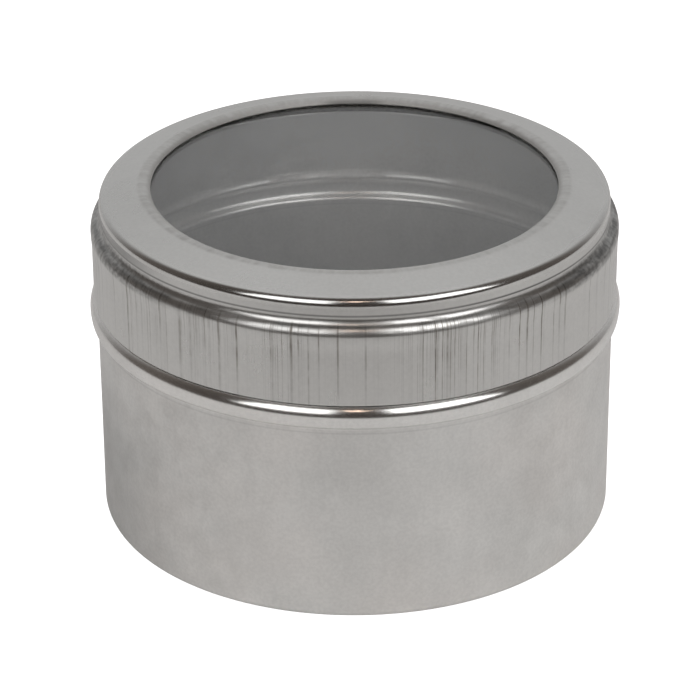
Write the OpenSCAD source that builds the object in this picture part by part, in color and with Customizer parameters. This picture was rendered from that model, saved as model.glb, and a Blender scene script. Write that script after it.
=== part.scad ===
// Round steel canister with a push-on lid that has a clear window.
// Every piece is turned about the Z axis. The base stands on Z = 0.

/* [Canister body] */
// Outer radius of the straight wall and of the neck under the lid
body_r = 50; // [49:0.25:51]
// Sheet thickness of the body
body_sheet = 0.5; // [0.4:0.05:0.6]
// Outer radius of the round between base and wall
base_round = 1.8; // [1:0.1:4]
// Height of the bead's widest point
bead_z = 43.1; // [36:0.1:43.2]
// How far the bead stands out from the wall
bead_out = 1.45; // [1.3:0.05:1.8]
// Radius of the bead's upper round
bead_round = 2.3; // [1.5:0.1:2.3]
// Radius of the bead's long, nearly upright face
bead_face = 8; // [6:0.5:10]
// Angle that this face turns through, in degrees
bead_turn = 10; // [5:1:12]
// Radius of the bead's lower round
bead_foot = 1.6; // [1.2:0.1:1.8]
// Radius of the bend between this round and the wall
bend_round = 0.3; // [0.2:0.05:0.6]
// Radius of the bend between the bead and the neck
neck_round = 0.3; // [0.2:0.05:0.4]
// Angle by which the neck leans outwards just above the bead, in degrees
neck_turn = 21; // [15:1:24]
// Radius of the curve that brings the neck upright again, at the wall's own radius
neck_flare = 4.5; // [3:0.5:5]

/* [Lid shell] */
// Height of the whole canister with its lid on
total_h = 67.8; // [67.5:0.1:68.2]
// Sheet thickness of the lid
lid_sheet = 0.45; // [0.35:0.05:0.5]
// Fall of the top rim from the window outwards, in degrees
rim_fall = 14.3; // [13:0.1:15.5]
// Radius of the window opening, at the lip's edge
hole_r = 39; // [38.5:0.1:39.5]
// Radius of the lip that rolls down to the window
lip_round = 2.5; // [2:0.1:2.6]
// Angle that the lip rolls through past its crest, in degrees
lip_turn = 45; // [42:1:50]
// How far the raised top stands in from the shoulder
riser_in = 1.75; // [1:0.05:2.4]
// Radius of the raised top's outer corner
corner_round = 1.5; // [1.4:0.1:1.8]
// Height of the foot of the raised top, where the sheet swings out to the shoulder
foot_z = 62.3; // [61.8:0.1:62.7]
// Radius of the hollow at the foot of the raised top
foot_round = 1.5; // [1.2:0.1:1.8]
// Radius of the shoulder
shoulder_round = 2.1; // [1.5:0.1:2.3]
// How far the shoulder stands out from the skirt
shoulder_out = 0.15; // [0.05:0.05:0.3]
// Height over which the shoulder runs out into the skirt
waist_h = 3.6; // [2:0.2:6]
// Height of the skirt's lower edge
skirt_z = 45.4; // [45.4:0.1:50]

/* [Window] */
// Radius of the clear disc
window_r = 42.6; // [42.2:0.1:43]
// Thickness of the clear disc
window_t = 1.2; // [1:0.1:1.3]
// Bevel on the disc's edges
window_bevel = 0.2; // [0.1:0.05:0.4]
// Width of the retaining ring's flange under the disc
ring_flange = 7.4; // [7:0.1:8]
// Height of the retaining ring
ring_h = 2.2; // [1.8:0.1:2.8]
// Sheet thickness of the retaining ring
ring_sheet = 0.5; // [0.3:0.05:0.6]

/* [Fits] */
// Gap between the neck and the lid's skirt, on the radius
skirt_gap = 0.2; // [0.15:0.05:0.3]
// Gap between the neck's rim and the inside of the lid's shoulder, on the height
seat_gap = 0.2; // [0.15:0.05:0.4]
// Gap between pieces that are clamped together
clamp_gap = 0.02; // [0.01:0.01:0.05]

/* [Hidden] */
$fn = 180;

// Angle that one step of an arc turns through, on small, middling and large rounds
small_round = 0.5;
large_round = 5;

// Bead: lower bend and round, long face, upper round, bend into the neck and the neck's flare, all tangent
bead_r = body_r + bead_out;
foot_x = bead_r - bead_face + (bead_face - bead_foot) * cos(bead_turn);
foot_cz = bead_z - (bead_face - bead_foot) * sin(bead_turn);
bend_x = body_r + bend_round;
bend_a = acos((bend_x - foot_x) / (bead_foot + bend_round));
bend_z = foot_cz - (bead_foot + bend_round) * sin(bend_a);
bead_x = bead_r - bead_round;
neck_x = body_r - neck_flare + (neck_round + neck_flare) * cos(neck_turn);
neck_a = acos((neck_x - bead_x) / (bead_round + neck_round));
neck_z = bead_z + (bead_round + neck_round) * sin(neck_a);
flare_z = neck_z + (neck_round + neck_flare) * sin(neck_turn);

// Lid: the top rim is a shallow cone, tangent to the lip and to the outer corner
skirt_r = body_r + skirt_gap + lid_sheet;
shoulder_r = skirt_r + shoulder_out;
riser_r = shoulder_r - riser_in;
lip_x = hole_r + lip_round * sin(lip_turn);
lip_cz = total_h - lip_round;
corner_x = riser_r - corner_round;
corner_z = lip_cz + (lip_round - corner_round) / cos(rim_fall) - (corner_x - lip_x) * tan(rim_fall);
// The foot's hollow and the shoulder make one S, which starts tangent to the riser
swing_x = riser_r + foot_round;
shoulder_x = shoulder_r - shoulder_round;
swing_a = acos((swing_x - shoulder_x) / (foot_round + shoulder_round));
shoulder_z = foot_z - (foot_round + shoulder_round) * sin(swing_a);
// Below the shoulder two shallow arcs bring the sheet in to the skirt
waist_a = 2 * atan(shoulder_out / waist_h);
waist_round = waist_h / (2 * sin(waist_a));

// The neck stops just under the inside of the shoulder
rim_z = shoulder_z + sqrt(pow(shoulder_round - lid_sheet, 2) - pow(body_r - shoulder_x, 2)) - seat_gap;

// Window: it lies just under the lip's edge, and its own edge stays under the sloping rim
lip_under = lip_cz + (lip_round - lid_sheet) * cos(lip_turn);
rim_under = lip_cz + (lip_round - lid_sheet) / cos(rim_fall) - (window_r - lip_x) * tan(rim_fall);
window_top = min(lip_under, rim_under) - clamp_gap;
window_base = window_top - window_t;
ring_r = riser_r - lid_sheet - clamp_gap;
ring_top = window_base - clamp_gap;
ring_round = corner_round - lid_sheet - clamp_gap;

// Points on an arc about [x, z] with radius r, from angle a to angle b
function arc_step(r) = r < small_round ? 22.5 : r < large_round ? 7.5 : 2.5;
function arc_steps(r, a, b) = ceil(abs(b - a) / arc_step(r));
function arc(x, z, r, a, b) =
    let (n = arc_steps(r, a, b))
    [for (i = [0:n]) let (t = a + (b - a) * i / n) [x + r * cos(t), z + r * sin(t)]];
function reversed(p) = [for (i = [len(p) - 1:-1:0]) p[i]];

// One side of the body's sheet, depth s inside its outer face, from the base's centre to the neck
function body_side(s) = concat(
    [[0, s]],
    arc(body_r - base_round, base_round, base_round - s, -90, 0),
    arc(bend_x, bend_z, bend_round + s, 180, 180 - bend_a),
    arc(foot_x, foot_cz, bead_foot - s, -bend_a, -bead_turn),
    arc(bead_r - bead_face, bead_z, bead_face - s, -bead_turn, 0),
    arc(bead_x, bead_z, bead_round - s, 0, neck_a),
    arc(neck_x, neck_z, neck_round + s, 180 + neck_a, 180 - neck_turn),
    arc(body_r - neck_flare, flare_z, neck_flare - s, -neck_turn, 0)
);

// One side of the lid's sheet, depth s inside its outer face, from the lip to the skirt
function lid_side(s) = concat(
    arc(lip_x, lip_cz, lip_round - s, 90 + lip_turn, 90 - rim_fall),
    arc(corner_x, corner_z, corner_round - s, 90 - rim_fall, 0),
    arc(swing_x, foot_z, foot_round + s, 180, 180 + swing_a),
    arc(shoulder_x, shoulder_z, shoulder_round - s, swing_a, 0),
    arc(shoulder_r - waist_round, shoulder_z, waist_round - s, 0, -waist_a),
    arc(skirt_r + waist_round, shoulder_z - waist_h, waist_round + s, 180 - waist_a, 180)
);

// Deep-drawn cup with a swaged bead and a neck that is drawn in a little just above it
module canister_body() {
    rim_round = body_sheet / 2;
    color([0.72, 0.71, 0.69])
    rotate_extrude()
    polygon(concat(
        body_side(0),
        arc(body_r - rim_round, rim_z - rim_round, rim_round, 0, 180),
        reversed(body_side(body_sheet))
    ));
}

// Pressed lid: lip, sloping rim, riser, shoulder and skirt in one sheet
module lid_shell() {
    color([0.78, 0.77, 0.75])
    rotate_extrude()
    polygon(concat(
        lid_side(0),
        [[skirt_r, skirt_z], [skirt_r - lid_sheet, skirt_z]],
        reversed(lid_side(lid_sheet))
    ));
}

// Clear disc that fills the opening from inside
module window_disc() {
    color([0.85, 0.9, 0.92, 0.35])
    rotate_extrude()
    polygon([
        [0, window_base],
        [window_r - window_bevel, window_base],
        [window_r, window_base + window_bevel],
        [window_r, window_top - window_bevel],
        [window_r - window_bevel, window_top],
        [0, window_top]
    ]);
}

// One side of the ring's sheet, depth s inside its outer face, nested in the inside of the lid's corner
function ring_side(s) =
    let (r = ring_round - s, a = asin(max(0, min(1, (ring_top - s - corner_z) / r))))
    concat(
        [[ring_r - ring_flange, ring_top - s]],
        arc(corner_x, min(corner_z, ring_top - s), r, a, 0),
        [[ring_r - s, ring_top - ring_h]]
    );

// Angle-section ring pressed into the raised top, which holds the disc up against the lip
module window_retaining_ring() {
    color([0.6, 0.6, 0.6])
    rotate_extrude()
    polygon(concat(ring_side(0), reversed(ring_side(ring_sheet))));
}

canister_body();
lid_shell();
window_disc();
window_retaining_ring();
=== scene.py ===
"""Looks of a round steel canister with a push-on lid and a clear window.

The four pieces are turned again here as fine meshes round the Z axis, on the places and sizes of the
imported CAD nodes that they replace. Lengths are millimetres, and turn into metres where Blender gets them.
"""

from math import acos, asin, atan, ceil, cos, degrees, pi, radians, sin, sqrt, tan

import bpy
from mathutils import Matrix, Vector, noise


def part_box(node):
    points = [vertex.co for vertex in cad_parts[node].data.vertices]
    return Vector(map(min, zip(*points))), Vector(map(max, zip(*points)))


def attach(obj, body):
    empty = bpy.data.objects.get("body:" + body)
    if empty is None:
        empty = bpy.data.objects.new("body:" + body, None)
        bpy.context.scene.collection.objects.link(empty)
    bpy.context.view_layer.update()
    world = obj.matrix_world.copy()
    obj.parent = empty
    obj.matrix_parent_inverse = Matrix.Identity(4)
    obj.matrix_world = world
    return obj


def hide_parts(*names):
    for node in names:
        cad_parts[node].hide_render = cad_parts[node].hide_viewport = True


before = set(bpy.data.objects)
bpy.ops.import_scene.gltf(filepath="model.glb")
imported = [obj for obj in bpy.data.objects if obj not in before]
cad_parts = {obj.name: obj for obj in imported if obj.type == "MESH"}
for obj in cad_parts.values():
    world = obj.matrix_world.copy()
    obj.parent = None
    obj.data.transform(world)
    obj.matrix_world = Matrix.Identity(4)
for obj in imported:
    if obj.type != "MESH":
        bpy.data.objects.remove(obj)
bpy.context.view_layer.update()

MM = 0.001


def box_mm(node):
    """Outer radius, lowest z and highest z of a CAD node, in millimetres."""
    low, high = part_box(node)
    return max(high.x, high.y) / MM, low.z / MM, high.z / MM


# ---------------------------------------------------------------- sizes, in millimetres and degrees

BEAD_R, BASE_Z, RIM_Z = box_mm("canister_body")
SHOULDER_R, SKIRT_Z, TOP_Z = box_mm("lid_shell")
WINDOW_R, WINDOW_BASE, WINDOW_TOP = box_mm("window_disc")
RING_R, RING_BASE, RING_TOP = box_mm("window_retaining_ring")

# Canister body
BODY_SHEET = 0.5
BEAD_OUT = 1.45
BODY_R = BEAD_R - BEAD_OUT
BASE_ROUND = 1.8
NECK_H = 16.93
BEAD_Z = RIM_Z - NECK_H
BEAD_ROUND = 2.3
BEAD_FACE = 8.0
BEAD_TURN = 10.0
BEAD_FOOT = 1.6
BEND_ROUND = 0.3
NECK_ROUND = 0.3
NECK_TURN = 21.0
NECK_FLARE = 4.5

# Lid
LID_SHEET = 0.45
RIM_FALL = 14.3
HOLE_R = 39.0
LIP_ROUND = 2.5
LIP_TURN = 45.0
RISER_IN = 1.75
RISER_R = SHOULDER_R - RISER_IN
CORNER_ROUND = 1.5
STEP_H = 5.5
FOOT_Z = TOP_Z - STEP_H
FOOT_ROUND = 1.5
SHOULDER_ROUND = 2.1
SHOULDER_OUT = 0.15
SKIRT_R = SHOULDER_R - SHOULDER_OUT
WAIST_H = 3.6
EDGE_ROUND = 0.12

# Window and the ring that holds it
WINDOW_BEVEL = 0.2
RING_SHEET = 0.5
RING_FLANGE = 7.4
CLAMP_GAP = 0.02
RING_ROUND = CORNER_ROUND - LID_SHEET - CLAMP_GAP


# ---------------------------------------------------------------- outlines

def arc(x, z, r, a, b, step=6.0):
    """Points on an arc about (x, z), from angle a to angle b in degrees."""
    n = ceil(abs(b - a) / step)
    turns = [radians(a + (b - a) * i / n) for i in range(n + 1)]
    return [(x + r * cos(t), z + r * sin(t)) for t in turns]


def body_side(s):
    """One side of the body's sheet, depth s inside its outer face, from the base's centre to the neck."""
    turn = radians(BEAD_TURN)
    foot_x = BEAD_R - BEAD_FACE + (BEAD_FACE - BEAD_FOOT) * cos(turn)
    foot_z = BEAD_Z - (BEAD_FACE - BEAD_FOOT) * sin(turn)
    bend_x = BODY_R + BEND_ROUND
    bend = acos((bend_x - foot_x) / (BEAD_FOOT + BEND_ROUND))
    bend_z = foot_z - (BEAD_FOOT + BEND_ROUND) * sin(bend)
    bend = degrees(bend)
    bead_x = BEAD_R - BEAD_ROUND
    flare = radians(NECK_TURN)
    neck_x = BODY_R - NECK_FLARE + (NECK_ROUND + NECK_FLARE) * cos(flare)
    neck = acos((neck_x - bead_x) / (BEAD_ROUND + NECK_ROUND))
    neck_z = BEAD_Z + (BEAD_ROUND + NECK_ROUND) * sin(neck)
    neck = degrees(neck)
    flare_z = neck_z + (NECK_ROUND + NECK_FLARE) * sin(flare)
    return (
        [(0, BASE_Z + s)]
        + arc(BODY_R - BASE_ROUND, BASE_Z + BASE_ROUND, BASE_ROUND - s, -90, 0)
        + arc(bend_x, bend_z, BEND_ROUND + s, 180, 180 - bend, step=12)
        + arc(foot_x, foot_z, BEAD_FOOT - s, -bend, -BEAD_TURN)
        + arc(BEAD_R - BEAD_FACE, BEAD_Z, BEAD_FACE - s, -BEAD_TURN, 0, step=2)
        + arc(bead_x, BEAD_Z, BEAD_ROUND - s, 0, neck, step=4)
        + arc(neck_x, neck_z, NECK_ROUND + s, 180 + neck, 180 - NECK_TURN, step=12)
        + arc(BODY_R - NECK_FLARE, flare_z, NECK_FLARE - s, -NECK_TURN, 0, step=2)
    )


def body_outline():
    """The body's sheet, closed over the neck's rounded rim."""
    edge = BODY_SHEET / 2
    rim = arc(BODY_R - edge, RIM_Z - edge, edge, 0, 180, step=15)
    return body_side(0) + rim + body_side(BODY_SHEET)[::-1]


def lip_centre():
    """Centre of the lip's round."""
    return HOLE_R + LIP_ROUND * sin(radians(LIP_TURN)), TOP_Z - LIP_ROUND


def lip_end():
    """Angle about the lip's centre at which the rounding of the sheet's edge begins."""
    return 90 + LIP_TURN - degrees(EDGE_ROUND / LIP_ROUND)


def corner_centre():
    """Centre of the raised top's corner, which the sloping rim meets without a kink."""
    fall = radians(RIM_FALL)
    lip_x, lip_z = lip_centre()
    x = RISER_R - CORNER_ROUND
    return x, lip_z + (LIP_ROUND - CORNER_ROUND) / cos(fall) - (x - lip_x) * tan(fall)


def lid_side(s):
    """One side of the lid's sheet, depth s inside its outer face, from the lip to the skirt."""
    lip_x, lip_z = lip_centre()
    corner_x, corner_z = corner_centre()
    swing_x = RISER_R + FOOT_ROUND
    shoulder_x = SHOULDER_R - SHOULDER_ROUND
    swing = acos((swing_x - shoulder_x) / (FOOT_ROUND + SHOULDER_ROUND))
    shoulder_z = FOOT_Z - (FOOT_ROUND + SHOULDER_ROUND) * sin(swing)
    swing = degrees(swing)
    waist = 2 * atan((SHOULDER_R - SKIRT_R) / WAIST_H)
    waist_round = WAIST_H / (2 * sin(waist))
    waist = degrees(waist)
    return (
        arc(lip_x, lip_z, LIP_ROUND - s, lip_end(), 90 - RIM_FALL)
        + arc(corner_x, corner_z, CORNER_ROUND - s, 90 - RIM_FALL, 0)
        + arc(swing_x, FOOT_Z, FOOT_ROUND + s, 180, 180 + swing, step=4)
        + arc(shoulder_x, shoulder_z, SHOULDER_ROUND - s, swing, 0, step=4)
        + arc(SHOULDER_R - waist_round, shoulder_z, waist_round - s, 0, -waist, step=1)
        + arc(SKIRT_R + waist_round, shoulder_z - WAIST_H, waist_round + s, 180 - waist, 180, step=1)
    )


def lid_outline():
    """The lid's sheet, with its edges rounded at the skirt's foot and at the lip."""
    edge = EDGE_ROUND
    inner = SKIRT_R - LID_SHEET
    skirt = (
        arc(SKIRT_R - edge, SKIRT_Z + edge, edge, 0, -90, step=22.5)
        + arc(inner + edge, SKIRT_Z + edge, edge, -90, -180, step=22.5)
    )
    lip_x, lip_z = lip_centre()
    end = lip_end()
    lip = []
    for depth, start in ((LID_SHEET - edge, 180), (edge, 90)):
        x = lip_x + (LIP_ROUND - depth) * cos(radians(end))
        z = lip_z + (LIP_ROUND - depth) * sin(radians(end))
        lip += arc(x, z, edge, end + start, end + start - 90, step=22.5)
    return lid_side(0) + skirt + lid_side(LID_SHEET)[::-1] + lip


def window_outline():
    """Half of the disc, from the centre of its lower face to the centre of its upper one."""
    b = WINDOW_BEVEL
    return (
        [(0, WINDOW_BASE)]
        + arc(WINDOW_R - b, WINDOW_BASE + b, b, -90, 0, step=15)
        + arc(WINDOW_R - b, WINDOW_TOP - b, b, 0, 90, step=15)
        + [(0, WINDOW_TOP)]
    )


def ring_side(s):
    """One side of the ring's sheet, depth s inside its outer face, nested in the lid's corner."""
    x, z = corner_centre()
    r = RING_ROUND - s
    return (
        [(RING_R - RING_FLANGE, RING_TOP - s)]
        + arc(x, z, r, degrees(asin((RING_TOP - s - z) / r)), 0)
        + [(RING_R - s, RING_BASE)]
    )


def ring_outline():
    """The ring's sheet: a flange under the window and an upright wall."""
    return ring_side(0) + ring_side(RING_SHEET)[::-1]


# ---------------------------------------------------------------- turned meshes

SEGMENTS = 288
SAME_PLACE = 1e-4
# Extra points on a straight: this close to each of its ends, and at most this far apart between them
SUPPORT_REACH = 0.25
SUPPORT_STEP = 3.0
# Unevenness of the sheet: noise cells to a unit circle's radius, height of a cell, and the radius
# from which it works in full
SWAY_CELLS = 1.6
SWAY_HEIGHT = 14
SWAY_FULL_R = 40


def supported(path):
    """The path with no point twice, and with extra points along each long straight."""
    out = [path[0]]
    for x1, z1 in path[1:]:
        x0, z0 = out[-1]
        length = sqrt((x1 - x0) ** 2 + (z1 - z0) ** 2)
        if length < SAME_PLACE:
            continue
        if length > 4 * SUPPORT_REACH:
            between = length - 2 * SUPPORT_REACH
            n = ceil(between / SUPPORT_STEP)
            parts = [(SUPPORT_REACH + between * i / n) / length for i in range(n + 1)]
            out += [(x0 + (x1 - x0) * part, z0 + (z1 - z0) * part) for part in parts]
        out.append((x1, z1))
    return out


def sway(t, z, amount):
    """A slow unevenness of the sheet at angle t and height z, as a change of radius."""
    return amount * noise.noise(Vector((SWAY_CELLS * cos(t), SWAY_CELLS * sin(t), z / SWAY_HEIGHT)))


def round_places(r, z, unevenness):
    """The points that one point of an outline makes round the axis, in metres: one if it is on the axis."""
    if r < SAME_PLACE:
        return [(0, 0, z * MM)]
    places = []
    for i in range(SEGMENTS):
        t = 2 * pi * i / SEGMENTS
        out = (r + sway(t, z, unevenness) * min(1, r / SWAY_FULL_R)) * MM
        places.append((out * cos(t), out * sin(t), z * MM))
    return places


def turned(name, outline, unevenness=0.0, closed=True):
    """An object turned about Z from an outline of (r, z) points, whose ends are joined if it is closed."""
    path = supported(outline + outline[:1])[:-1] if closed else supported(outline)
    points, rings = [], []
    for r, z in path:
        places = round_places(r, z, unevenness)
        rings.append([len(points) + i % len(places) for i in range(SEGMENTS)])
        points += places
    faces = []
    for a, b in zip(rings, rings[1:] + rings[:1] if closed else rings[1:]):
        for i in range(SEGMENTS):
            j = (i + 1) % SEGMENTS
            corners = dict.fromkeys((a[i], a[j], b[j], b[i]))
            if len(corners) > 2:
                faces.append(list(corners))
    mesh = bpy.data.meshes.new(name)
    mesh.from_pydata(points, [], faces)
    mesh.validate()
    mesh.polygons.foreach_set("use_smooth", [True] * len(mesh.polygons))
    mesh.update()
    obj = bpy.data.objects.new(name, mesh)
    bpy.context.scene.collection.objects.link(obj)
    return obj


# ---------------------------------------------------------------- nodes

# A surface faces away from the axis if the product of its level normal and its place is more than this
LEVEL_ENOUGH = 5.0


class Nodes:
    """Short names for making the nodes of one tree. A value is a number, a tuple or a node's output."""

    def __init__(self, tree):
        self.tree = tree
        tree.nodes.clear()

    def node(self, kind, **settings):
        made = self.tree.nodes.new(kind)
        for key, value in settings.items():
            setattr(made, key, value)
        return made

    def put(self, socket, value):
        """Link or set a value. A colour is given as three parts."""
        if hasattr(value, "is_output"):
            self.tree.links.new(value, socket)
        elif socket.type == "RGBA":
            socket.default_value = (*value, 1)
        else:
            socket.default_value = value

    def fill(self, sockets, values):
        for socket, value in zip(sockets, values):
            self.put(socket, value)

    def maths(self, operation, *values):
        made = self.node("ShaderNodeMath", operation=operation)
        self.fill(made.inputs, values)
        return made.outputs[0]

    def product(self, *factors):
        total = factors[0]
        for factor in factors[1:]:
            total = self.maths("MULTIPLY", total, factor)
        return total

    def split(self, value):
        made = self.node("ShaderNodeSeparateXYZ")
        self.put(made.inputs[0], value)
        return made.outputs

    def level_length(self, x, y):
        """Length of the level part of a vector."""
        squares = self.maths("ADD", self.product(x, x), self.product(y, y))
        return self.maths("SQRT", squares)

    def ramp(self, value, low, high, start=0.0, end=1.0):
        """Smooth step from start at low to end at high."""
        made = self.node("ShaderNodeMapRange", interpolation_type="SMOOTHSTEP")
        self.fill(made.inputs, (value, low, high, start, end))
        return made.outputs[0]

    def blend(self, mask, a, b):
        """A number: a where the mask is 0 and b where it is 1."""
        made = self.node("ShaderNodeMix", data_type="FLOAT")
        self.fill((made.inputs[0], made.inputs[2], made.inputs[3]), (mask, a, b))
        return made.outputs[0]

    def tint(self, mask, a, b):
        """A colour: a where the mask is 0 and b where it is 1."""
        made = self.node("ShaderNodeMix", data_type="RGBA")
        self.fill((made.inputs[0], made.inputs[6], made.inputs[7]), (mask, a, b))
        return made.outputs[2]


class Recipe(Nodes):
    """A Principled material with its masks and patterns. Places are object coordinates in millimetres."""

    def __init__(self, name):
        self.material = bpy.data.materials.new(name)
        self.material.use_nodes = True
        super().__init__(self.material.node_tree)
        self.shader = self.node("ShaderNodeBsdfPrincipled")
        self.put(self.node("ShaderNodeOutputMaterial").inputs[0], self.shader.outputs[0])
        places = self.node("ShaderNodeTexCoord").outputs
        self.place = self.vector("SCALE", places["Object"], scale=1 / MM)
        self.x, self.y, self.z = self.split(self.place)
        self.outside = self.faces_away(places["Normal"])
        self.radius = self.level_length(self.x, self.y)
        # Zero at the front and growing to the right, in radians
        self.angle = self.maths("ARCTAN2", self.x, self.maths("MULTIPLY", self.y, -1))

    def vector(self, operation, a, b=None, scale=None):
        made = self.node("ShaderNodeVectorMath", operation=operation)
        self.put(made.inputs[0], a)
        if b is not None:
            self.put(made.inputs[1], b)
        if scale is not None:
            self.put(made.inputs["Scale"], scale)
        return made.outputs[0]

    def faces_away(self, normal):
        """1 on surfaces that face away from the axis, 0 on level ones and on those that face it."""
        made = self.node("ShaderNodeVectorMath", operation="DOT_PRODUCT")
        self.fill(made.inputs, (self.vector("MULTIPLY", normal, (1, 1, 0)), self.place))
        return self.maths("GREATER_THAN", made.outputs["Value"], LEVEL_ENOUGH)

    def band(self, value, zone, edge):
        """1 between the zone's two values, falling to 0 over the edge on both sides."""
        low, high = zone
        rise = self.ramp(value, low - edge, low + edge)
        return self.product(rise, self.ramp(value, high - edge, high + edge, 1, 0))

    def off_front(self):
        """Angle from the front, whichever way round."""
        return self.maths("ABSOLUTE", self.angle)

    def less(self, amount, mask):
        """A factor that is 1 where the mask is 0 and 1 - amount where it is 1."""
        return self.maths("MULTIPLY_ADD", mask, -amount, 1.0)

    def vary(self, pattern, amount, reach=0.25):
        """A factor that strays from 1 by the amount, while the pattern strays from 0.5 by the reach."""
        return self.ramp(pattern, 0.5 - reach, 0.5 + reach, 1 - amount, 1 + amount)

    def noise(self, place, scale, detail=2.0, roughness=0.5, shift=0.0):
        """Noise with this many cells to a unit of the place; the shift makes another pattern of it."""
        made = self.node("ShaderNodeTexNoise")
        self.put(made.inputs["Vector"], self.vector("ADD", place, (shift, shift * 0.7, shift * 1.3)))
        self.put(made.inputs["Scale"], scale)
        self.put(made.inputs["Detail"], detail)
        self.put(made.inputs["Roughness"], roughness)
        return made.outputs[0]

    def streaks(self, around, up, detail=2.0, shift=0.0):
        """Noise with this many cells to a radian round the axis and to a millimetre of height."""
        place = self.node("ShaderNodeCombineXYZ")
        parts = [self.maths("DIVIDE", part, self.radius) for part in (self.x, self.y)]
        self.fill(place.inputs, [self.maths("MULTIPLY", part, around) for part in parts])
        self.put(place.inputs[2], self.maths("MULTIPLY", self.z, up))
        return self.noise(place.outputs[0], 1.0, detail, shift=shift)

    def lines(self, per_radian, thin, thick, share, shift):
        """Upright lines at random angles, and a random value for each. Their widths are parts of a cell."""
        cells = self.node("ShaderNodeTexVoronoi", voronoi_dimensions="1D")
        self.put(cells.inputs["W"], self.maths("MULTIPLY_ADD", self.angle, per_radian, shift))
        self.put(cells.inputs["Scale"], 1.0)
        pick, breadth, reach = self.split(cells.outputs["Color"])
        half = self.maths("MULTIPLY_ADD", breadth, thick - thin, thin)
        line = self.ramp(self.maths("DIVIDE", cells.outputs["Distance"], half), 0.35, 1.0, 1, 0)
        drawn = self.maths("LESS_THAN", pick, share)
        weight = self.maths("MULTIPLY_ADD", self.maths("DIVIDE", pick, share), 0.65, 0.35)
        return self.product(line, drawn, weight), reach

    def bump(self, height, depth):
        """Raise the surface by the height field, which runs from 0 to 1, times the depth in millimetres."""
        made = self.node("ShaderNodeBump")
        self.put(made.inputs["Height"], height)
        self.put(made.inputs["Distance"], depth * MM)
        self.put(self.shader.inputs["Normal"], made.outputs[0])

    def brushed(self, amount):
        """Stretch reflections across brush marks that run round the axis."""
        made = self.node("ShaderNodeTangent", direction_type="RADIAL", axis="Z")
        self.put(self.shader.inputs["Tangent"], made.outputs[0])
        self.put(self.shader.inputs["Anisotropic"], amount)
        self.put(self.shader.inputs["Anisotropic Rotation"], 0.25)

    def finish_steel(self, colour, factor, roughness):
        self.put(self.shader.inputs["Base Color"], self.vector("SCALE", colour, scale=factor))
        self.put(self.shader.inputs["Roughness"], roughness)
        self.put(self.shader.inputs["Metallic"], 1)
        return self.material


# ---------------------------------------------------------------- materials

# Heights on the body: painted shade at the foot, the fading of painted shade on one side and inside,
# painted shade in the crease under the bead, the polished bead, and the hollow of the neck above it
FOOT_SHADE = (0.4, 1.6)
SHADED_SIDE_FADE = (20, 38)
INSIDE_SHADE = (14, 58)
CREASE_SHADE = (BEAD_Z - 3.85, BEAD_Z - 3.55)
SWAGE = (BEAD_Z - 2.9, BEAD_Z + 2.1)
NECK_HOLLOW = (BEAD_Z + 2.3, BEAD_Z + 4.1)
# Side of the body that has painted shade on it, in radians from the front
SHADED_SIDE = (-2.4, -0.92)
BODY_WARM = (0.772, 0.758, 0.74)
BODY_COOL = (0.765, 0.762, 0.748)


def body_shade(m):
    """Colour factor: mottling; painted shade in the crease, at the foot, on one side and low inside."""
    # Painted shade on one side of the body, fading out upwards
    dull = m.product(m.band(m.angle, SHADED_SIDE, 0.42), m.ramp(m.z, *SHADED_SIDE_FADE, 1, 0.2))
    return m.product(
        m.vary(m.noise(m.place, 0.09, 3, 0.55), 0.045),
        m.vary(m.noise(m.place, 1.5, 1), 0.04, reach=0.3),
        m.vary(m.streaks(26, 0.03, 3), 0.01),
        # Painted shade: the crease under the bead is darkened
        m.less(0.1, m.band(m.z, CREASE_SHADE, 0.15)),
        # Painted shade: the foot is darker towards the floor
        m.ramp(m.z, *FOOT_SHADE, 0.84, 1),
        # Painted shade: inside darker low down and lighter near the top; outside, the shaded side
        m.blend(m.outside, m.ramp(m.z, *INSIDE_SHADE, 0.52, 1.35), m.less(0.31, dull)),
    )


def body_roughness(m):
    """Satin walls, a polished bead that is duller inside, and worn patches in the neck's hollow."""
    satin = m.ramp(m.noise(m.place, 0.25, 3, shift=9), 0.3, 0.7, 0.37, 0.45)
    bead = m.blend(m.outside, 0.44, 0.2)
    worn = m.product(m.band(m.z, NECK_HOLLOW, 0.3), m.ramp(m.streaks(5, 0, 2, shift=31), 0.44, 0.56))
    return m.blend(worn, m.blend(m.band(m.z, SWAGE, 0.4), satin, bead), 0.75)


def body_steel():
    """Satin drawn steel with soft mottling, a polished bead and painted shade in the crease under it."""
    m = Recipe("satin_body_steel")
    patches = m.noise(m.place, 0.035, 2, shift=40)
    colour = m.tint(m.ramp(patches, 0.35, 0.65), BODY_COOL, BODY_WARM)
    m.bump(m.noise(m.place, 0.8, 1, shift=5), 0.004)
    m.brushed(0.65)
    return m.finish_steel(colour, body_shade(m), body_roughness(m))


# Heights on the lid, from the top down: where the rim begins, the round corner, the riser and its polish,
# a faint and a dark line of painted shade at its foot, the shoulder, its stains with painted shade,
# scuffs and a seam of painted shade, and the marks' upper end
RIM_FADE = (TOP_Z - 2.6, TOP_Z - 1.6)
CORNER = (TOP_Z - 3.4, TOP_Z - 1.8)
RISER = (FOOT_Z + 0.6, FOOT_Z + 2.1)
RISER_POLISH = (FOOT_Z - 0.1, FOOT_Z + 1.9)
FAINT_SHADE_LINE = (FOOT_Z + 0.5, FOOT_Z + 0.68)
SHADE_LINE = (FOOT_Z + 0.28, FOOT_Z + 0.55)
SHOULDER = (FOOT_Z - 3.4, FOOT_Z - 0.1)
STAINS_AND_SHADE = (FOOT_Z - 3.4, FOOT_Z)
SCUFFS = (FOOT_Z - 2.9, FOOT_Z - 0.5)
SEAM_SHADE = (FOOT_Z - 1.75, FOOT_Z - 1.15)
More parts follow.
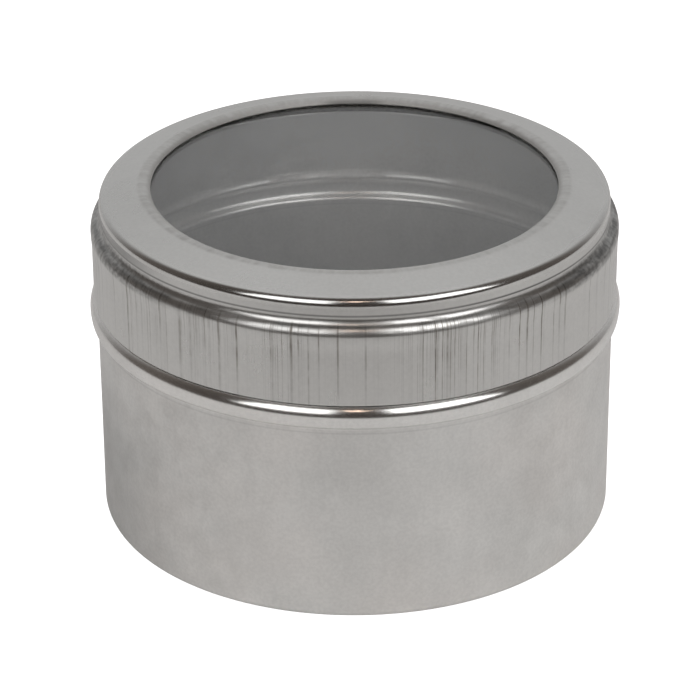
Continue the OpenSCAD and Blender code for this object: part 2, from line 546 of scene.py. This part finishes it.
MARKS_END = (FOOT_Z - 1.9, FOOT_Z - 0.5)
# Radii on the rim over which the lip's dull ring and the sheet's edge with its painted shade fade out
LIP_FADE = (HOLE_R + 2.2, HOLE_R + 3.0)
EDGE_FADE = (HOLE_R + 0.1, HOLE_R + 1.1)
# Parts of the lid's circle, in radians from the front
LINE_DARKEST = (0.45, 0.95)
RISER_SHADED_SIDE = (-2.2, -0.92)
SCUFFED_SIDE = (0.08, 2.8)
SIDES = (0.55, 1.1)
SHADED_BACK = (2.94, 3.08)
LID_CLEAN = (0.625, 0.62, 0.606)
LID_MARKED = (0.58, 0.55, 0.51)
# Draw marks: lines to a radian, half-widths of the thinnest and thickest line as parts of a cell, share
# of the cells that have one, strength, shift of the pattern, and whether they crowd together in places
DRAW_MARKS = (
    (29, 0.07, 0.2, 0.42, 1.0, 3.0, False),
    (67, 0.12, 0.34, 0.36, 0.85, 17.0, True),
    (150, 0.2, 0.45, 0.55, 0.65, 11.0, True),
    (13, 0.12, 0.26, 0.4, 0.2, 7.0, False),
)


def draw_marks(m):
    """Dark upright marks left on the skirt by the drawing of the lid: bold ones, hairlines and smudges."""
    crowd = m.ramp(m.streaks(4.5, 0, 2, shift=21), 0.42, 0.62)
    total = 0.0
    for per_radian, thin, thick, share, strength, shift, crowded in DRAW_MARKS:
        line, reach = m.lines(per_radian, thin, thick, share, shift)
        foot = m.maths("MULTIPLY_ADD", reach, 16, 36)
        head = m.maths("MULTIPLY_ADD", reach, 3, 57)
        line = m.product(line, m.ramp(m.z, foot, head, 0.25, 1))
        if crowded:
            line = m.product(line, m.maths("MULTIPLY_ADD", crowd, 0.85, 0.15))
        total = m.maths("MULTIPLY_ADD", line, strength, total)
    uneven = m.ramp(m.streaks(30, 0.35, 2, shift=2), 0.3, 0.65, 0.45, 1)
    front = m.ramp(m.off_front(), 0.6, 1.2, 1.0, 0.5)
    faint_inside = m.blend(m.outside, 0.35, 1.0)
    return m.product(total, uneven, front, faint_inside, m.ramp(m.z, *MARKS_END, 1, 0))


def shoulder_scuffs(m):
    """Fine scuffs on the shoulder, mostly on the right."""
    right = m.maths("MULTIPLY_ADD", m.band(m.angle, SCUFFED_SIDE, 0.18), 0.65, 0.35)
    rubs = m.ramp(m.streaks(9, 1.3, 4, shift=6), 0.42, 0.6)
    return m.product(m.band(m.z, SCUFFS, 0.5), rubs, right)


def sheet_edge(m):
    """The sheet's edge round the window."""
    return m.product(m.ramp(m.z, *RIM_FADE), m.ramp(m.radius, *EDGE_FADE, 1, 0))


def lid_shade(m, mottle, marks, scuffs):
    """Colour factor: mottling, marks, scuffs, stains, and painted shade: foot lines, sides, seam, back edge.
    """
    # Painted shade: two thin dark lines at the foot of the step, darkest on the right
    shade_line = m.band(m.z, SHADE_LINE, 0.08)
    # Painted shade on the left side of the riser
    riser = m.product(m.band(m.z, RISER, 0.2), m.band(m.angle, RISER_SHADED_SIDE, 0.18))
    blotches = m.ramp(m.noise(m.place, 1.1, 2, shift=12), 0.32, 0.68, 0.55, 1.25)
    # Blotchy stains on the shoulder's sides, partly painted shade that dims the reflections there
    stains_and_shade = m.product(m.band(m.z, STAINS_AND_SHADE, 0.4), m.ramp(m.off_front(), *SIDES), blotches)
    # Painted shade: a streaky dark line between the shoulder's two highlights
    seam_shade = m.product(m.band(m.z, SEAM_SHADE, 0.2), m.ramp(m.streaks(7, 0.5, 3, shift=8), 0.35, 0.6))
    return m.product(
        m.vary(mottle, 0.035),
        m.vary(m.noise(m.place, 1.5, 1, shift=1), 0.025, reach=0.3),
        m.less(0.62, m.maths("MINIMUM", marks, 1.0)),
        m.less(0.52, shade_line),
        m.less(0.4, m.product(shade_line, m.band(m.angle, LINE_DARKEST, 0.25))),
        m.less(0.3, m.band(m.z, FAINT_SHADE_LINE, 0.07)),
        m.less(0.42, riser),
        m.less(0.28, scuffs),
        m.less(0.42, stains_and_shade),
        m.less(0.4, seam_shade),
        # Painted shade on the sheet's edge at the back of the window
        m.less(0.38, m.product(sheet_edge(m), m.ramp(m.off_front(), *SHADED_BACK))),
    )


def lid_roughness(m, mottle, marks, scuffs):
    """Satin rim and skirt, polished rounds, and a dull lip; marks and scuffs are duller too."""
    satin = m.ramp(mottle, 0.3, 0.7, 0.27, 0.33)
    rounds = m.maths("MAXIMUM", m.band(m.z, CORNER, 0.3), m.band(m.z, SHOULDER, 0.4))
    rough = m.blend(rounds, satin, m.ramp(m.z, *RISER_POLISH, 0.28, 0.18))
    rough = m.maths("MULTIPLY_ADD", scuffs, 0.13, rough)
    rough = m.maths("MULTIPLY_ADD", marks, 0.15, rough)
    lip = m.product(m.ramp(m.z, *RIM_FADE), m.ramp(m.radius, *LIP_FADE, 1, 0))
    speckle = m.ramp(m.streaks(40, 0.9, 3, shift=13), 0.35, 0.65, 0.42, 0.62)
    return m.blend(sheet_edge(m), m.blend(lip, rough, speckle), 0.75)


def lid_steel():
    """Drawn steel: satin rim, polished corner, scuffed shoulder, and draw marks down the skirt."""
    m = Recipe("drawn_lid_steel")
    mottle = m.noise(m.place, 0.12, 3, 0.55, shift=3)
    marks = draw_marks(m)
    scuffs = shoulder_scuffs(m)
    colour = m.tint(m.ramp(marks, 0.1, 0.8), LID_CLEAN, LID_MARKED)
    m.bump(m.noise(m.place, 0.9, 1, shift=4), 0.003)
    m.brushed(0.45)
    shade = lid_shade(m, mottle, marks, scuffs)
    return m.finish_steel(colour, shade, lid_roughness(m, mottle, marks, scuffs))


def ring_steel():
    """Plain dull steel with a little mottling."""
    m = Recipe("plain_ring_steel")
    m.brushed(0.4)
    return m.finish_steel((0.68, 0.675, 0.66), m.vary(m.noise(m.place, 0.3, 3), 0.05), 0.55)


def clear_plastic():
    """Clear sheet with a little dust and a few faint rubs."""
    m = Recipe("clear_acrylic")
    cells = m.node("ShaderNodeTexVoronoi")
    m.put(cells.inputs["Vector"], m.place)
    m.put(cells.inputs["Scale"], 0.32)
    pick, size, _ = m.split(cells.outputs["Color"])
    reach = m.maths("MULTIPLY_ADD", size, 0.03, 0.015)
    specks = m.ramp(m.maths("DIVIDE", cells.outputs["Distance"], reach), 0.6, 1.0, 1, 0)
    dust = m.product(specks, m.maths("LESS_THAN", pick, 0.35))
    rubs = m.ramp(m.noise(m.place, 0.15, 3, shift=2), 0.4, 0.8, 0.0, 0.02)
    m.put(m.shader.inputs["Base Color"], (0.985, 0.99, 0.99))
    m.put(m.shader.inputs["Roughness"], m.maths("MULTIPLY_ADD", dust, 0.4, rubs))
    m.put(m.shader.inputs["Transmission Weight"], m.less(0.6, dust))
    m.put(m.shader.inputs["IOR"], 1.49)
    return m.material


# ---------------------------------------------------------------- pieces

def make_pieces():
    body = turned("canister_cup", body_outline(), unevenness=0.03)
    body.data.materials.append(body_steel())
    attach(body, "canister")
    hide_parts("canister_body")

    lid = turned("lid_pressing", lid_outline(), unevenness=0.02)
    lid.data.materials.append(lid_steel())
    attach(lid, "lid")
    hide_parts("lid_shell")

    window = turned("window_pane", window_outline(), closed=False)
    window.data.materials.append(clear_plastic())
    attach(window, "lid")
    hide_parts("window_disc")

    ring = turned("retaining_ring", ring_outline())
    ring.data.materials.append(ring_steel())
    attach(ring, "lid")
    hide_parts("window_retaining_ring")


# ---------------------------------------------------------------- studio

FLOOR_SIDE = 700
FLOOR_FRONT = 220
FLOOR_BACK = 1500
FLOOR_WHITE = (0.86, 0.855, 0.85)
FLOOR_GLOW = 0.13


def floor_material():
    """A white that glows a little, and is plain white to the camera."""
    material = bpy.data.materials.new("floor_white")
    material.use_nodes = True
    m = Nodes(material.node_tree)
    matt = m.node("ShaderNodeBsdfDiffuse")
    m.put(matt.inputs["Color"], FLOOR_WHITE)
    glow = m.node("ShaderNodeEmission")
    seen = m.node("ShaderNodeLightPath").outputs["Is Camera Ray"]
    m.put(glow.inputs["Strength"], m.maths("MULTIPLY_ADD", seen, 1 - FLOOR_GLOW, FLOOR_GLOW))
    both = m.node("ShaderNodeAddShader")
    m.fill(both.inputs, (matt.outputs[0], glow.outputs[0]))
    m.put(m.node("ShaderNodeOutputMaterial").inputs[0], both.outputs[0])
    return material


def make_floor():
    mesh = bpy.data.meshes.new("floor")
    corners = (
        (-FLOOR_SIDE, -FLOOR_FRONT),
        (FLOOR_SIDE, -FLOOR_FRONT),
        (FLOOR_SIDE, FLOOR_BACK),
        (-FLOOR_SIDE, FLOOR_BACK),
    )
    mesh.from_pydata([(x * MM, y * MM, BASE_Z * MM) for x, y in corners], [], [(0, 1, 2, 3)])
    floor = bpy.data.objects.new("floor", mesh)
    bpy.context.scene.collection.objects.link(floor)
    floor.data.materials.append(floor_material())


BACKDROP_LOW = 0.56
BACKDROP_HIGH = 0.74
# Elevations in degrees over which the backdrop ends, from the top down
BACKDROP_END = (76, 68)
ROOM_FRONT = (0.045, 0.037, 0.032)
ROOM_SIDES = (0.13, 0.115, 0.105)


def make_world():
    """A pale backdrop behind the object up to a height, a dark room elsewhere, and white for the camera."""
    world = bpy.data.worlds.new("studio")
    bpy.context.scene.world = world
    world.use_nodes = True
    m = Nodes(world.node_tree)
    x, y, z = m.split(m.node("ShaderNodeTexCoord").outputs["Generated"])
    # 1 straight behind the object and -1 straight in front of it
    rearward = m.maths("DIVIDE", y, m.level_length(x, y))
    end, full = (sin(radians(elevation)) for elevation in BACKDROP_END)
    behind = m.product(m.ramp(rearward, 0.2, 0.95), m.ramp(z, end, full))
    room = m.tint(m.ramp(rearward, -0.8, 0.4), ROOM_FRONT, ROOM_SIDES)
    surroundings = m.tint(behind, room, m.ramp(z, 0.4, 0.95, BACKDROP_LOW, BACKDROP_HIGH))
    to_camera = m.node("ShaderNodeLightPath").outputs["Is Camera Ray"]
    background = m.node("ShaderNodeBackground")
    m.put(background.inputs[0], m.tint(to_camera, surroundings, (1, 1, 1)))
    m.put(m.node("ShaderNodeOutputWorld").inputs[0], background.outputs[0])


SOFTBOX_DISTANCE = 800
# Height on the can that the elevations of the lights are seen from
SOFTBOX_DATUM = 50


def softbox(name, bearings, elevations, radiance):
    """An upright soft light in front, between two bearings and two elevations in degrees."""
    left, right = (radians(angle) for angle in bearings)
    bearing = (left + right) / 2
    width = 2 * SOFTBOX_DISTANCE * tan((right - left) / 2)
    bottom, top = (SOFTBOX_DISTANCE * tan(radians(angle)) for angle in elevations)
    light = bpy.data.lights.new(name, "AREA")
    light.shape = "RECTANGLE"
    light.size = width * MM
    light.size_y = (top - bottom) * MM
    light.energy = radiance * pi * light.size * light.size_y
    lamp = bpy.data.objects.new(name, light)
    bpy.context.scene.collection.objects.link(lamp)
    centre = Vector((sin(bearing), -cos(bearing), 0)) * SOFTBOX_DISTANCE
    centre.z = SOFTBOX_DATUM + (bottom + top) / 2
    lamp.location = centre * MM
    lamp.rotation_euler = (pi / 2, 0, bearing)
    lamp.visible_camera = False
    return lamp


def make_lights():
    softbox("softbox_left", (-50, -11), (20, 59), 2.05)
    softbox("softbox_right", (15, 62), (20, 59), 2.3)
    warm = softbox("warm_lamp", (-4, 4), (48, 56), 5.0)
    warm.data.color = (1, 0.75, 0.6)


CAMERA_DISTANCE = 662.6
CAMERA_ELEVATION = 27.0
CAMERA_ROLL = -0.35
AIM = (-1.04, 0, 31.1)
LENS = 173.5


def make_camera():
    camera = bpy.data.cameras.new("camera")
    camera.lens = LENS
    camera.sensor_width = 36
    camera.clip_end = 20
    eye = bpy.data.objects.new("camera", camera)
    bpy.context.scene.collection.objects.link(eye)
    e = radians(CAMERA_ELEVATION)
    eye.location = (Vector(AIM) + CAMERA_DISTANCE * Vector((0, -cos(e), sin(e)))) * MM
    eye.rotation_euler = (pi / 2 - e, 0, 0)
    eye.rotation_euler.rotate_axis("Z", radians(CAMERA_ROLL))
    bpy.context.scene.camera = eye


make_pieces()
make_floor()
make_world()
make_lights()
make_camera()
bpy.context.scene.view_settings.view_transform = "Standard"
